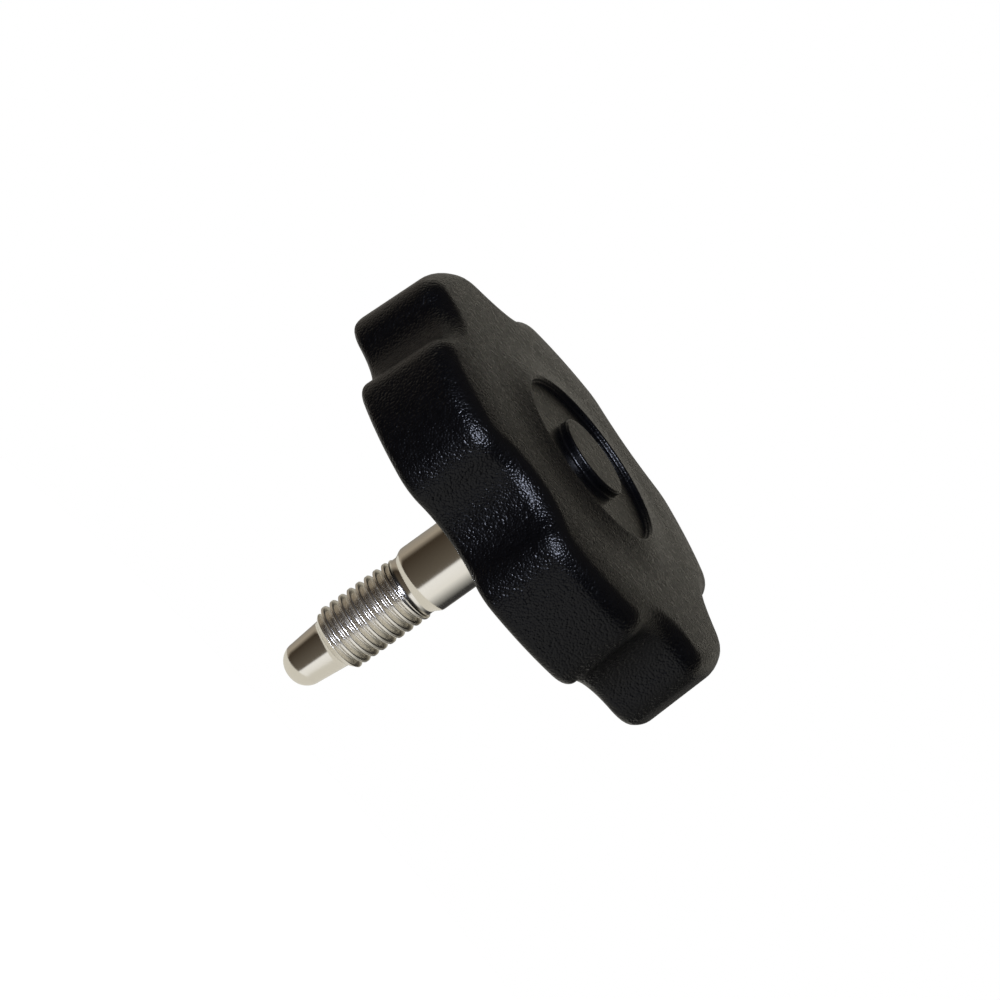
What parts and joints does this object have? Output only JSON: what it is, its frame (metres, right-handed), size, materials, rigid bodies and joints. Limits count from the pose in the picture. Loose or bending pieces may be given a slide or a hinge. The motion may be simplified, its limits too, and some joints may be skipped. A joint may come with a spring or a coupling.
{
  "type": "lobed knob with threaded stud",
  "caption": "Round hand knob with rounded lobes, a shallow recess and button on top, hollow underneath, on a turned steel stud with shank, thread and rounded pilot end",
  "frame": {"origin": "on the stud's axis in the plane of the hub's seating face, which is also the plane of the head's lower rim", "axes": "+Z along the stud's axis, out through the button on top of the head; the stud points to -Z; one lobe points to +X and a valley to -Y"},
  "size_m": [0.056, 0.0534, 0.0442],
  "materials": {
    "black_plastic": "matt, fine moulded grain",
    "plated_steel": "bright nickel plate"
  },
  "bodies": {
    "root": {"head": "black_plastic", "stud": "plated_steel"}
  },
  "joints": []
}
